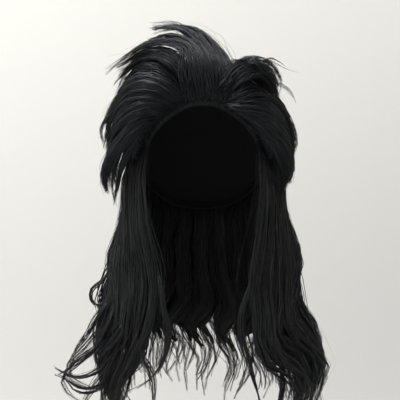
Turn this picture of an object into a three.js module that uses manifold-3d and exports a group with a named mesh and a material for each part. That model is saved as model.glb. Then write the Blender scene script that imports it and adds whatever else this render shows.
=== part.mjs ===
// A costume mullet wig in jet black synthetic hair: short teased tufts on top, swept sides, and long
// wavy lengths at the sides and back. A stretch cap carries it. The hair grows in groups, each a
// backing patch on the cap with its locks fused to it.
//
// Millimetres, +Z up. The face looks along -Y and the wearer's left is +X. The origin is the point
// inside the cap that rests on the crown of the head.

import * as THREE from "three";
import Module from "manifold-3d";

const wasm = await Module();
wasm.setup();

// The head that the wig fits
const headBreadth = 156;
const headLength = 194;
const headDrop = 105; // from the crown down to the widest level

// The cap and its edge band
const capWall = 1.6;
const bandWidth = 9;
const bandWall = 1.2;
const pieceGap = 0.3; // between neighbouring pieces

// The hair
const backingWall = 3; // the patches that the locks are fused to
const backingSlot = 2; // bare cap between two patches
const tuftRise = 62; // the tallest tuft above the crown
const fallLength = 405; // the longest tip below the crown
const tuftLockWidth = 25;
const tuftLockDepth = 11;
const layerLockWidth = 31;
const layerLockDepth = 9;
const layerLift = 17; // how far the back layer stands off the cap
const fallLockWidth = 25;
const fallLockDepth = 10;
const backLockWidth = 34;
const strayLockWidth = 6;
const strayLockDepth = 4;
const waveDepth = 7;
const waveLength = 105;

// How a lock's section changes along it, in shares of its full size and of its length
const rootSwell = 0.55; // its size at the root
const swellEnd = 0.4; // where it reaches its full size
const drawStart = 0.5; // where it starts to draw in
const longDrawStart = 0.66; // and where a long lock does
const drawEnd = 1.1; // where it would have drawn in fully
const tipShare = 0.12; // its size there
const longTip = 0.15; // and that of a long lock
const rootFlat = 0.25; // its depth at the root, to leave the backing thinly
const flatEnd = 0.25; // where it reaches its full depth
const facingShare = 0.6; // where its flat side faces outwards

// How finely the shapes are faceted
const capColumns = 30;
const capRows = 7;
const tuftSides = 6;
const lengthSides = 4; // the sweeps, the long locks and the back layer
const facetAngle = 15; // the most that a facet of a backing patch turns, in degrees
const shortSteps = 6; // sections along a lock of a tuft or sweep
const layerSteps = 5;
const longSteps = 10;
const straySteps = 4;

const halfBreadth = headBreadth / 2;
const halfLength = headLength / 2;
const backingInner = capWall + pieceGap;
const backingOuter = backingInner + backingWall;
const rootDepth = (backingInner + backingOuter) / 2;
const underCap = 8; // how deep under the cap the hair is cut away
const headCentre = new THREE.Vector3(0, 0, -headDrop);

const hairBlack = { color: 0x141519, roughness: 0.42, metalness: 0 };
const capBlack = { color: 0x1b1b1d, roughness: 0.85, metalness: 0 };
const bandBlack = { color: 0x101012, roughness: 0.7, metalness: 0 };

// How far the cap's rim lies below the crown, as shares of headDrop, every 15 degrees round from
// the forehead (0) past the ear tab (75) to the nape (180)
const rimStep = 15;
const rimDrops = [0.36, 0.38, 0.47, 0.62, 0.93, 1.08, 0.96, 1.0, 1.14, 1.28, 1.38, 1.42, 1.43];

// A smooth curve through evenly spaced values, mirrored past both ends.
function smoothValue(values, position) {
  const last = values.length - 1;
  const at = (i) => values[i < 0 ? -i : i > last ? 2 * last - i : i];
  const i = Math.min(Math.floor(position), last - 1);
  const t = position - i;
  const [a, b, c, d] = [at(i - 1), at(i), at(i + 1), at(i + 2)];
  return b + 0.5 * t * (c - a + t * (2 * a - 5 * b + 4 * c - d + t * (3 * (b - c) + d - a)));
}

// The angle from the crown down to the rim, at an azimuth in degrees from the forehead.
function rimPolar(azimuth) {
  const turn = Math.abs(THREE.MathUtils.euclideanModulo(azimuth + 180, 360) - 180);
  return Math.acos(1 - smoothValue(rimDrops, turn / rimStep));
}

// A point on the head's ellipsoid, raised by `out` along all three half axes.
function headPoint(azimuth, polar, out) {
  const turn = THREE.MathUtils.degToRad(azimuth);
  return new THREE.Vector3(
    (halfBreadth + out) * Math.sin(polar) * Math.sin(turn),
    -(halfLength + out) * Math.sin(polar) * Math.cos(turn),
    (headDrop + out) * Math.cos(polar) - headDrop,
  );
}

// A closed triangle mesh as a solid.
function solidOf(points, triangles) {
  const vertProperties = new Float32Array(points.flatMap((p) => [p.x, p.y, p.z]));
  const triVerts = new Uint32Array(triangles.flat());
  return new wasm.Manifold(new wasm.Mesh({ numProp: 3, vertProperties, triVerts }));
}

// A curved slab between an inner and an outer surface. pointAt(u, v, isOuter) gives a point of
// either surface. u runs round the head and closes on itself if `wraps`; v runs down, from the
// crown if `poled`.
function slabSolid(pointAt, columns, rows, { wraps = false, poled = false } = {}) {
  const points = [];
  const triangles = [];
  const ringSize = wraps ? columns : columns + 1;
  const grids = [true, false].map((isOuter) => {
    const grid = [];
    for (let j = 0; j <= rows; j += 1) {
      const single = poled && j === 0;
      const ring = [];
      for (let i = 0; i < (single ? 1 : ringSize); i += 1) {
        ring.push(points.length);
        points.push(pointAt(i / columns, j / rows, isOuter));
      }
      grid.push(ring);
    }
    return grid;
  });
  const [outer, inner] = grids.map((grid) => (i, j) => grid[j][i % grid[j].length]);
  const addQuad = (a, b, c, d) => {
    if (a !== b && b !== c && a !== c) triangles.push([a, b, c]);
    if (a !== c && c !== d && a !== d) triangles.push([a, c, d]);
  };
  for (let i = 0; i < columns; i += 1) {
    for (let j = 0; j < rows; j += 1) {
      addQuad(outer(i, j), outer(i, j + 1), outer(i + 1, j + 1), outer(i + 1, j));
      addQuad(inner(i, j), inner(i + 1, j), inner(i + 1, j + 1), inner(i, j + 1));
    }
    addQuad(outer(i, rows), inner(i, rows), inner(i + 1, rows), outer(i + 1, rows));
    if (!poled) addQuad(inner(i, 0), outer(i, 0), outer(i + 1, 0), inner(i + 1, 0));
  }
  if (!wraps) {
    for (let j = 0; j < rows; j += 1) {
      addQuad(inner(0, j), inner(0, j + 1), outer(0, j + 1), outer(0, j));
      addQuad(
        outer(columns, j), outer(columns, j + 1), inner(columns, j + 1), inner(columns, j),
      );
    }
  }
  return solidOf(points, triangles);
}

// The angle that the band's width takes at the rim
const bandAngle = bandWidth / headDrop;

// The cap, or the room that the hair leaves for it: a shell over the head from `inner` to `outer`,
// and as far as `beyond` past the rim. Its last row of facets is as wide as the band, so the band
// lies flat against it.
function capSolid(inner, outer, beyond) {
  return slabSolid(
    (u, v, isOuter) => {
      const azimuth = u * 360;
      const aboveBand = rimPolar(azimuth) - bandAngle;
      const row = v * capRows;
      const polar = row <= capRows - 1
        ? (aboveBand * row) / (capRows - 1)
        : aboveBand + bandAngle + beyond / headDrop;
      return headPoint(azimuth, polar, isOuter ? outer : inner);
    },
    capColumns, capRows, { wraps: true, poled: true },
  );
}

function bandSolid() {
  return slabSolid(
    (u, v, isOuter) => {
      const azimuth = u * 360;
      const polar = rimPolar(azimuth) - (1 - v) * bandAngle;
      return headPoint(azimuth, polar, isOuter ? -pieceGap : -pieceGap - bandWall);
    },
    capColumns, 1, { wraps: true },
  );
}

// A patch of backing over the cap, still solid down to the head. from and to are azimuths in
// degrees, and top and foot are shares of the way from the crown to the rim. grow widens it.
function backingSolid({ from, to, top, foot }, grow) {
  const slot = THREE.MathUtils.radToDeg((backingSlot / 2 - grow) / halfBreadth);
  const isWhole = to - from >= 360;
  const start = isWhole ? from : from + slot;
  const end = isWhole ? to : to - slot;
  const columns = Math.ceil((to - from) / facetAngle);
  const downAngle = THREE.MathUtils.radToDeg((foot - top) * rimPolar((from + to) / 2));
  const rows = Math.ceil(downAngle / facetAngle);
  return slabSolid(
    (u, v, isOuter) => {
      const azimuth = start + u * (end - start);
      const rim = rimPolar(azimuth);
      const trim = (1 - 2 * v) * (backingSlot / 2 - grow) / headDrop;
      const polar = top === 0
        ? v * (foot * rim + grow / headDrop)
        : rim * (top + v * (foot - top)) + trim;
      return headPoint(azimuth, polar, isOuter ? backingOuter + grow : -grow);
    },
    columns, rows, { wraps: isWhole, poled: top === 0 },
  );
}

// A copy of a point that, above the level of the nape, stands at least `clearance` off the head.
function liftOff(point, clearance) {
  const nape = -headDrop * rimDrops[rimDrops.length - 1];
  if (point.z < nape) return point.clone();
  const fromCentre = point.clone().sub(headCentre);
  const share = Math.hypot(
    fromCentre.x / (halfBreadth + clearance),
    fromCentre.y / (halfLength + clearance),
    fromCentre.z / (headDrop + clearance),
  );
  return headCentre.clone().addScaledVector(fromCentre, Math.max(1, 1 / share));
}

// A lock of hair: a flat section carried along a curve. It swells from its root to its full width,
// keeps it, and then draws in to its tip.
function lockSolid({ path, width, depth, sides, steps, tip = tipShare, draws = drawStart }, grow) {
  const curve = new THREE.CatmullRomCurve3(path, false, "centripetal");
  const spine = curve.getSpacedPoints(steps);
  const { tangents, normals, binormals } = curve.computeFrenetFrames(steps, false);
  const set = Math.round(facingShare * steps);
  const outward = new THREE.Vector3(
    spine[set].x, spine[set].y, Math.max(0, spine[set].z + headDrop),
  );
  const roll = Math.atan2(outward.dot(binormals[set]), outward.dot(normals[set]));
  const points = [];
  const triangles = [];
  spine.forEach((onCurve, k) => {
    const t = k / steps;
    const swell = rootSwell + (1 - rootSwell) * THREE.MathUtils.smoothstep(t, 0, swellEnd);
    const draw = 1 - (1 - tip) * THREE.MathUtils.smoothstep(t, draws, drawEnd);
    const halfWidth = (width / 2) * swell * draw;
    const flat = THREE.MathUtils.lerp(rootFlat, 1, Math.min(1, t / flatEnd));
    const halfDepth = (depth / 2) * flat * swell * draw;
    const clearance = k === 0 ? rootDepth : backingInner + halfDepth + pieceGap;
    const beyond = k === 0 ? -grow : k === steps ? grow : 0;
    const centre = liftOff(onCurve, clearance).addScaledVector(tangents[k], beyond);
    const thick = normals[k].clone().multiplyScalar(Math.cos(roll))
      .addScaledVector(binormals[k], Math.sin(roll));
    const across = thick.clone().cross(tangents[k]);
    for (let side = 0; side < sides; side += 1) {
      const turn = (side / sides) * 2 * Math.PI;
      points.push(
        centre.clone()
          .addScaledVector(across, Math.cos(turn) * (halfWidth + grow))
          .addScaledVector(thick, Math.sin(turn) * (halfDepth + grow)),
      );
    }
  });
  const corner = (k, side) => k * sides + (side % sides);
  for (let side = 0; side < sides; side += 1) {
    for (let k = 0; k < steps; k += 1) {
      triangles.push([corner(k, side), corner(k, side + 1), corner(k + 1, side + 1)]);
      triangles.push([corner(k, side), corner(k + 1, side + 1), corner(k + 1, side)]);
    }
  }
  for (let side = 1; side < sides - 1; side += 1) {
    triangles.push([corner(0, 0), corner(0, side + 1), corner(0, side)]);
    triangles.push([corner(steps, 0), corner(steps, side), corner(steps, side + 1)]);
  }
  return solidOf(points, triangles);
}

// A point given in shares: x of the half breadth, y of the half length, and z of the tuft's rise
// above the crown or of the head's drop below it.
function sharePoint([x, y, z]) {
  return new THREE.Vector3(x * halfBreadth, y * halfLength, z * (z > 0 ? tuftRise : headDrop));
}

// The tufts and sweeps that show from the front. root is an azimuth and a share of the way to the
// rim; the other columns are points along the lock in shares of the head.
const crestLocks = [
  { root: [9, 0.9], rise: [0.12, -0.84, -0.02], bend: [-0.06, -0.68, 0.46], fall: [-0.37, -0.58, 0.8],
    tip: [-0.72, -0.52, 0.76] },
  { root: [16, 0.85], rise: [0.28, -0.76, -0.06], bend: [0.14, -0.6, 0.4], fall: [-0.12, -0.46, 0.8],
    tip: [-0.52, -0.42, 0.9] },
  { root: [17, 0.6], rise: [0.36, -0.6, -0.02], bend: [0.32, -0.5, 0.22], fall: [0.18, -0.4, 0.5],
    tip: [-0.1, -0.3, 0.76] },
  { root: [-8, 0.9], rise: [-0.1, -0.88, -0.06], bend: [-0.2, -0.76, 0.36], fall: [-0.5, -0.68, 0.52],
    tip: [-0.92, -0.62, 0.36] },
  { root: [4, 0.5], rise: [0.1, -0.46, 0.18], bend: [0.06, -0.38, 0.46], fall: [-0.14, -0.3, 0.62],
    tip: [-0.4, -0.24, 0.6] },
];
const leftTuftLocks = [
  { root: [-28, 0.38], rise: [-0.24, -0.56, 0.06], bend: [-0.5, -0.62, 0.32], fall: [-0.82, -0.6, 0.36],
    tip: [-1.22, -0.52, 0.12] },
  { root: [-42, 0.38], rise: [-0.4, -0.5, 0.02], bend: [-0.72, -0.5, 0.16], fall: [-1.0, -0.46, 0.02],
    tip: [-1.2, -0.42, -0.26] },
  { root: [-62, 0.38], rise: [-0.46, -0.28, 0.0], bend: [-0.78, -0.24, -0.07], fall: [-1.02, -0.2, -0.28],
    tip: [-1.18, -0.16, -0.5] },
  { root: [-80, 0.35], rise: [-0.42, -0.06, 0.06], bend: [-0.76, 0.02, -0.04], fall: [-1.02, 0.08, -0.26],
    tip: [-1.18, 0.1, -0.56] },
];
const rightTuftLocks = [
  { root: [34, 0.38], rise: [0.44, -0.56, 0.0], bend: [0.7, -0.58, 0.14], fall: [0.96, -0.5, -0.02],
    tip: [1.02, -0.44, -0.2] },
  { root: [48, 0.38], rise: [0.52, -0.42, 0.0], bend: [0.76, -0.36, 0.15], fall: [1.0, -0.28, -0.02],
    tip: [1.1, -0.24, -0.28] },
  { root: [64, 0.36], rise: [0.5, -0.22, 0.08], bend: [0.76, -0.14, 0.13], fall: [1.0, -0.08, -0.04],
    tip: [1.14, -0.06, -0.4] },
  { root: [80, 0.34], rise: [0.42, -0.02, 0.16], bend: [0.76, 0.06, 0.16], fall: [1.04, 0.12, -0.1],
    tip: [1.2, 0.14, -0.46] },
];
const leftSweepLocks = [
  { root: [-25, 0.9], rise: [-0.56, -0.92, -0.2], bend: [-0.92, -0.82, -0.16], fall: [-1.26, -0.6, -0.4],
    tip: [-1.4, -0.44, -0.74] },
  { root: [-33, 0.92], rise: [-0.72, -0.88, -0.34], bend: [-1.04, -0.74, -0.4], fall: [-1.26, -0.56, -0.62],
    tip: [-1.36, -0.44, -0.9] },
  { root: [-41, 0.9], rise: [-0.84, -0.8, -0.48], bend: [-1.1, -0.68, -0.68], fall: [-1.33, -0.56, -0.94],
    tip: [-1.44, -0.5, -1.24], blunt: 0.4 },
  { root: [-45, 0.8], rise: [-0.92, -0.7, -0.62], bend: [-1.06, -0.62, -0.84], fall: [-1.18, -0.54, -1.06],
    tip: [-1.26, -0.48, -1.36], slim: 0.5 },
  { root: [-56, 0.55], rise: [-0.9, -0.52, -0.34], bend: [-1.16, -0.42, -0.5], fall: [-1.3, -0.34, -0.76],
    tip: [-1.34, -0.3, -1.08] },
  { root: [-76, 0.55], rise: [-0.92, -0.2, -0.36], bend: [-1.16, -0.12, -0.56], fall: [-1.28, -0.06, -0.84],
    tip: [-1.3, -0.04, -1.16] },
];
const rightSweepLocks = [
  { root: [25, 0.9], rise: [0.46, -0.94, -0.34], bend: [0.8, -0.82, -0.36], fall: [1.1, -0.6, -0.5],
    tip: [1.28, -0.42, -0.8] },
  { root: [32, 0.92], rise: [0.62, -0.88, -0.42], bend: [0.94, -0.74, -0.52], fall: [1.2, -0.52, -0.74],
    tip: [1.26, -0.42, -1.04] },
  { root: [40, 0.9], rise: [0.76, -0.8, -0.52], bend: [1.02, -0.66, -0.68], fall: [1.2, -0.52, -0.9],
    tip: [1.2, -0.46, -1.22] },
  { root: [45, 0.8], rise: [0.88, -0.7, -0.62], bend: [1.04, -0.6, -0.82], fall: [1.14, -0.5, -1.04],
    tip: [1.12, -0.46, -1.34], slim: 0.5 },
  { root: [56, 0.55], rise: [0.88, -0.52, -0.24], bend: [1.12, -0.42, -0.4], fall: [1.24, -0.34, -0.64],
    tip: [1.28, -0.3, -0.98] },
  { root: [76, 0.55], rise: [0.92, -0.2, -0.24], bend: [1.16, -0.12, -0.46], fall: [1.26, -0.06, -0.78],
    tip: [1.28, -0.04, -1.12] },
];

function tuftLocks(rows, sides) {
  return rows.map(({ root, rise, bend, fall, tip, blunt = tipShare, slim = 1 }) => {
    const [azimuth, share] = root;
    const base = headPoint(azimuth, share * rimPolar(azimuth), rootDepth);
    return {
      path: [base, ...[rise, bend, fall, tip].map(sharePoint)],
      width: tuftLockWidth * slim,
      depth: tuftLockDepth * slim,
      sides,
      steps: shortSteps,
      tip: blunt,
    };
  });
}

// The short layer over the back of the crown: rings of locks that lift off the cap, lie back down
// over it and flick out at their tips. reach is the angle that a lock covers on its way down.
const layerRings = [
  { share: 0.08, locks: 4, from: 98, to: 262, reach: 52, lift: 1.1, flick: 0.7 },
  { share: 0.32, locks: 5, from: 100, to: 260, reach: 46, lift: 1.0, flick: 0.8 },
  { share: 0.55, locks: 4, from: 100, to: 260, reach: 42, lift: 0.8, flick: 1.0 },
];
const layerLean = 5; // how far neighbours lean towards each other, in degrees
const longReach = 1.12; // every other lock reaches further
const shortReach = 0.94;
const liftEnd = 0.85; // the share of a lock's reach after which it lies no closer

function layerLocks() {
  return layerRings.flatMap((ring) => {
    const { share, locks, from, to, reach, lift, flick } = ring;
    return Array.from({ length: locks }, (_, i) => {
      const azimuth = from + ((to - from) * i) / (locks - 1);
      const start = share * rimPolar(azimuth);
      const lean = i % 2 ? 1 : -1; // neighbours lean towards each other
      const longer = i % 2 ? longReach : shortReach;
      const path = [0, 0.25, 0.5, 0.75, 1].map((t) => {
        const polar = start + THREE.MathUtils.degToRad(reach * longer) * t;
        const rise = lift * Math.sin(Math.PI * Math.min(t, liftEnd)) + flick * t * t;
        return headPoint(azimuth + lean * layerLean * t, polar, rootDepth + layerLift * rise);
      });
      return { path, width: layerLockWidth, depth: layerLockDepth, sides: lengthSides, steps: layerSteps };
    });
  });
}

// The long lengths at the sides. Each row is a level: how far down it lies, as a share of the way
// from the head's widest level to the longest tip, and the plan position of the fall's inner and
// outer edges there, in shares of the half breadth and half length. bow swells it between them.
const leftFallLevels = [
  { down: 0.0, innerX: 0.84, innerY: -0.66, outerX: 1.06, outerY: 0.26, bow: 0.14 },
  { down: 0.12, innerX: 0.82, innerY: -0.68, outerX: 1.08, outerY: 0.2, bow: 0.12 },
  { down: 0.25, innerX: 0.77, innerY: -0.68, outerX: 1.17, outerY: 0.11, bow: 0.12 },
  { down: 0.38, innerX: 0.6, innerY: -0.68, outerX: 1.33, outerY: 0.06, bow: 0.14 },
  { down: 0.52, innerX: 0.62, innerY: -0.7, outerX: 1.41, outerY: 0.03, bow: 0.16 },
  { down: 0.65, innerX: 0.74, innerY: -0.72, outerX: 1.47, outerY: 0.0, bow: 0.17 },
  { down: 0.78, innerX: 0.9, innerY: -0.74, outerX: 1.48, outerY: -0.02, bow: 0.17 },
  { down: 0.92, innerX: 0.98, innerY: -0.74, outerX: 1.42, outerY: -0.03, bow: 0.16 },
  { down: 1.0, innerX: 0.98, innerY: -0.73, outerX: 1.36, outerY: -0.04, bow: 0.16 },
];
const rightFallLevels = [
  { down: 0.0, innerX: 0.81, innerY: -0.68, outerX: 1.06, outerY: 0.26, bow: 0.14 },
  { down: 0.12, innerX: 0.79, innerY: -0.69, outerX: 1.12, outerY: 0.18, bow: 0.11 },
  { down: 0.25, innerX: 0.76, innerY: -0.68, outerX: 1.26, outerY: 0.1, bow: 0.11 },
  { down: 0.38, innerX: 0.65, innerY: -0.68, outerX: 1.38, outerY: 0.05, bow: 0.13 },
  { down: 0.52, innerX: 0.62, innerY: -0.68, outerX: 1.41, outerY: 0.02, bow: 0.16 },
  { down: 0.65, innerX: 0.8, innerY: -0.69, outerX: 1.58, outerY: -0.01, bow: 0.17 },
  { down: 0.78, innerX: 1.08, innerY: -0.7, outerX: 1.66, outerY: -0.02, bow: 0.17 },
  { down: 0.92, innerX: 1.2, innerY: -0.68, outerX: 1.48, outerY: -0.03, bow: 0.16 },
  { down: 1.0, innerX: 1.18, innerY: -0.66, outerX: 1.32, outerY: -0.04, bow: 0.16 },
];
// The back lengths: the half axes of the curtain's plan at each level
const backFallLevels = [
  { down: 0.0, breadth: 1.13, length: 1.12 },
  { down: 0.12, breadth: 1.12, length: 1.1 },
  { down: 0.25, breadth: 1.18, length: 1.04 },
  { down: 0.38, breadth: 1.32, length: 1.04 },
  { down: 0.52, breadth: 1.42, length: 1.06 },
  { down: 0.65, breadth: 1.46, length: 1.08 },
  { down: 0.78, breadth: 1.44, length: 1.1 },
  { down: 1.0, breadth: 1.36, length: 1.08 },
];
const fallHeight = fallLength - headDrop;

// A row between two rows of a level table, with each column blended.
function levelAt(levels, down) {
  const below = levels.findIndex((row) => row.down >= down);
  const low = levels[below < 0 ? levels.length - 1 : Math.max(1, below)];
  const high = levels[levels.indexOf(low) - 1];
  const t = (down - high.down) / (low.down - high.down);
  return Object.fromEntries(
    Object.keys(low).map((name) => [name, THREE.MathUtils.lerp(high[name], low[name], t)]),
  );
}

// The wave that builds up on the way down, for a lock that starts it at `phase` of a turn.
function waveAt(down, phase) {
  const grown = THREE.MathUtils.smoothstep(down, 0.1, 0.55);
  return waveDepth * grown * Math.sin(2 * Math.PI * ((down * fallHeight) / waveLength + phase));
}

// Two layers of locks, the outer one first. start is where a lock begins to hang, as a share of
// the way down, and off is how far it lies off the sheet, in depths of a lock.
const sideLayers = [
  { locks: 4, first: 0.03, last: 0.97, rootShare: 0.84, start: 0.04, off: 0.35, shorter: 0 },
  { locks: 3, first: 0.19, last: 0.81, rootShare: 0.94, start: 0.08, off: -0.4, shorter: 0.08 },
];
const hangStations = [0, 0.1, 0.22, 0.35, 0.48, 0.62, 0.76, 0.9, 1]; // shares of a lock's hang
const sideFrom = 54; // the azimuth of a fall's inner edge at the cap
const sideTo = 108; // and of its outer edge
const sideUneven = 0.1; // how much shorter some locks of a layer are
const unevenStep = 0.62; // spreads their lengths from lock to lock
const layerStep = 3; // and sets the two layers off against each other
const sideWaveStep = 0.13; // the part of a wave between neighbours
const sideWaveOut = 0.4; // the wave's share that goes in and out

// side is 1 towards +X and -1 towards -X. Lock s runs down the fall between its inner edge
// (s = 0) and its outer edge (s = 1).
function sideFallLocks(levels, side) {
  return sideLayers.flatMap(({ locks, first, last, rootShare, start, off, shorter }) =>
    Array.from({ length: locks }, (_, i) => {
      const s = first + ((last - first) * i) / (locks - 1);
      const azimuth = side * THREE.MathUtils.lerp(sideFrom, sideTo, s);
      const root = headPoint(azimuth, rootShare * rimPolar(azimuth), rootDepth);
      const length = 1 - shorter - sideUneven * ((i * unevenStep + shorter * layerStep) % 1);
      const hanging = hangStations.map((station) => {
        const down = THREE.MathUtils.lerp(start, length, station);
        const { innerX, innerY, outerX, outerY, bow } = levelAt(levels, down);
        const chord = new THREE.Vector2(
          (outerX - innerX) * halfBreadth, (outerY - innerY) * halfLength,
        );
        const normal = new THREE.Vector2(chord.y, -chord.x).normalize();
        const swell = bow * halfBreadth * Math.sin(Math.PI * s) + off * fallLockDepth;
        const wave = waveAt(down, i * sideWaveStep);
        const plan = new THREE.Vector2(innerX * halfBreadth, innerY * halfLength)
          .addScaledVector(chord, s)
          .addScaledVector(normal, swell + wave * sideWaveOut)
          .addScaledVector(chord.normalize(), wave);
        return new THREE.Vector3(side * plan.x, plan.y, -headDrop - down * fallHeight);
      });
      return {
        path: [root, ...hanging],
        width: fallLockWidth,
        depth: fallLockDepth,
        sides: lengthSides,
        steps: longSteps,
        tip: longTip,
        draws: longDrawStart,
      };
    }));
}

const backSpread = 0.09; // how much wider an angle the back lengths cover low down
const backUneven = 0.08;
const backWaveStep = 0.17;
const backWaveOut = 0.5;
const backLayers = [
  { locks: 6, from: 112, to: 248, rootShare: 0.74, start: 0.05, off: 0.5, shorter: 0 },
  { locks: 5, from: 125.6, to: 234.4, rootShare: 0.9, start: 0.14, off: -0.4, shorter: 0.06 },
];

function backFallLocks() {
  return backLayers.flatMap(({ locks, from, to, rootShare, start, off, shorter }) =>
    Array.from({ length: locks }, (_, i) => {
      const azimuth = from + ((to - from) * i) / (locks - 1);
      const root = headPoint(azimuth, rootShare * rimPolar(azimuth), rootDepth);
      const length = 1 - shorter - backUneven * ((i * unevenStep) % 1);
      const hanging = hangStations.map((station) => {
        const down = THREE.MathUtils.lerp(start, length, station);
        const spread = 1 + backSpread * THREE.MathUtils.smoothstep(down, 0.1, 0.6);
        const turn = THREE.MathUtils.degToRad(180 + (azimuth - 180) * spread);
        const { breadth, length: reach } = levelAt(backFallLevels, down);
        const wave = waveAt(down, i * backWaveStep);
        const out = off * fallLockDepth + wave * backWaveOut;
        return new THREE.Vector3(
          (breadth * halfBreadth + out) * Math.sin(turn) + wave * Math.cos(turn),
          -(reach * halfLength + out) * Math.cos(turn) + wave * Math.sin(turn),
          -headDrop - down * fallHeight,
        );
      });
      return {
        path: [root, ...hanging],
        width: backLockWidth,
        depth: fallLockDepth,
        sides: lengthSides,
        steps: longSteps,
        tip: longTip,
        draws: longDrawStart,
      };
    }));
}

// Thin locks that leave the side falls. Their points are shares of the half breadth and half
// length, and of the way down from the widest level to the longest tip.
const leftStrayLocks = [
  { start: [-1.26, -0.3, 0.5], rise: [-1.46, -0.42, 0.64], bend: [-1.74, -0.46, 0.72],
    tip: [-2.0, -0.47, 0.765] },
  { start: [-1.2, -0.34, 0.62], rise: [-1.42, -0.46, 0.73], bend: [-1.74, -0.5, 0.765],
    tip: [-2.16, -0.46, 0.73] },
  { start: [-1.14, -0.4, 0.68], rise: [-1.4, -0.5, 0.79], bend: [-1.72, -0.48, 0.81],
    tip: [-2.04, -0.44, 0.77] },
  { start: [-0.6, -0.64, 0.42], rise: [-0.53, -0.76, 0.66], bend: [-0.66, -0.8, 0.78],
    tip: [-1.0, -0.78, 0.87] },
];
const rightStrayLocks = [
  { start: [0.74, -0.65, 0.44], rise: [0.54, -0.76, 0.6], bend: [0.66, -0.8, 0.74],
    tip: [0.88, -0.78, 0.96] },
  { start: [1.1, -0.62, 0.7], rise: [1.08, -0.76, 0.82], bend: [0.98, -0.78, 0.88],
    tip: [0.86, -0.76, 0.93] },
];

function strayLocks(rows) {
  return rows.map(({ start, rise, bend, tip }) => ({
    path: [start, rise, bend, tip].map(
      ([x, y, down]) =>
        new THREE.Vector3(x * halfBreadth, y * halfLength, -headDrop - down * fallHeight),
    ),
    width: strayLockWidth,
    depth: strayLockDepth,
    sides: lengthSides,
    steps: straySteps,
  }));
}

// The hair groups, in the order in which they keep their full shape: a later group is cut back
// where an earlier one lies in it.
const groups = [
  {
    name: "crest_tuft",
    backings: [{ from: -20, to: 20, top: 0.06, foot: 0.97 }],
    locks: tuftLocks(crestLocks, tuftSides),
  },
  {
    name: "left_sweep",
    backings: [
      { from: -90, to: -20, top: 0.42, foot: 0.66 },
      { from: -50, to: -20, top: 0.58, foot: 0.97 },
    ],
    locks: tuftLocks(leftSweepLocks, lengthSides),
  },
  {
    name: "right_sweep",
    backings: [
      { from: 20, to: 90, top: 0.42, foot: 0.66 },
      { from: 20, to: 50, top: 0.58, foot: 0.97 },
    ],
    locks: tuftLocks(rightSweepLocks, lengthSides),
  },
  {
    name: "left_crown_tuft",
    backings: [{ from: -90, to: -20, top: 0.06, foot: 0.42 }],
    locks: tuftLocks(leftTuftLocks, tuftSides),
  },
  {
    name: "right_crown_tuft",
    backings: [{ from: 20, to: 90, top: 0.06, foot: 0.42 }],
    locks: tuftLocks(rightTuftLocks, tuftSides),
  },
  {
    name: "crown_layer",
    backings: [
      { from: 90, to: 270, top: 0, foot: 0.66 },
    ],
    locks: layerLocks(),
  },
  {
    name: "left_fall",
    backings: [{ from: -113, to: -50, top: 0.66, foot: 0.97 }],
    locks: [...sideFallLocks(leftFallLevels, -1), ...strayLocks(leftStrayLocks)],
  },
  {
    name: "right_fall",
    backings: [{ from: 50, to: 113, top: 0.66, foot: 0.97 }],
    locks: [...sideFallLocks(rightFallLevels, 1), ...strayLocks(rightStrayLocks)],
  },
  {
    name: "back_fall",
    backings: [{ from: 113, to: 247, top: 0.66, foot: 0.97 }],
    locks: backFallLocks(),
  },
];

// A group's backing patches and locks as one solid.
function groupSolid({ backings, locks }, grow) {
  return [
    ...backings.map((backing) => backingSolid(backing, grow)),
    ...locks.map((lock) => lockSolid(lock, grow)),
  ].reduce((whole, piece) => whole.add(piece));
}

// The largest of the bodies that a cut leaves.
function mainBody(solid) {
  return solid.decompose().reduce((a, b) => (a.volume() > b.volume() ? a : b));
}

function meshOf(name, solid, look) {
  const { vertProperties, triVerts } = solid.getMesh();
  const geometry = new THREE.BufferGeometry();
  geometry.setAttribute("position", new THREE.BufferAttribute(vertProperties, 3));
  geometry.setIndex(new THREE.BufferAttribute(triVerts, 1));
  const faceted = geometry.toNonIndexed();
  faceted.computeVertexNormals();
  const mesh = new THREE.Mesh(faceted, new THREE.MeshStandardMaterial(look));
  mesh.name = name;
  return mesh;
}

const wig = new THREE.Group();
wig.add(meshOf("cap", capSolid(0, capWall, 0), capBlack));
wig.add(meshOf("edge_band", bandSolid(), bandBlack));

let taken = capSolid(-underCap, backingInner, pieceGap); // all earlier pieces, grown by the gap
for (const group of groups) {
  wig.add(meshOf(group.name, mainBody(groupSolid(group, 0).subtract(taken)), hairBlack));
  taken = taken.add(groupSolid(group, pieceGap));
}

export default wig;
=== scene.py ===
"""Looks of the mullet wig: combed locks and fine strands in place of the plain hair solids, the net
cap with its sewn rows and edge binding, the stage, the lights and the camera.

Metres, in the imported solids' frame: +Z up, the front towards -Y, the left as worn towards +X.
"""

from collections import namedtuple

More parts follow.
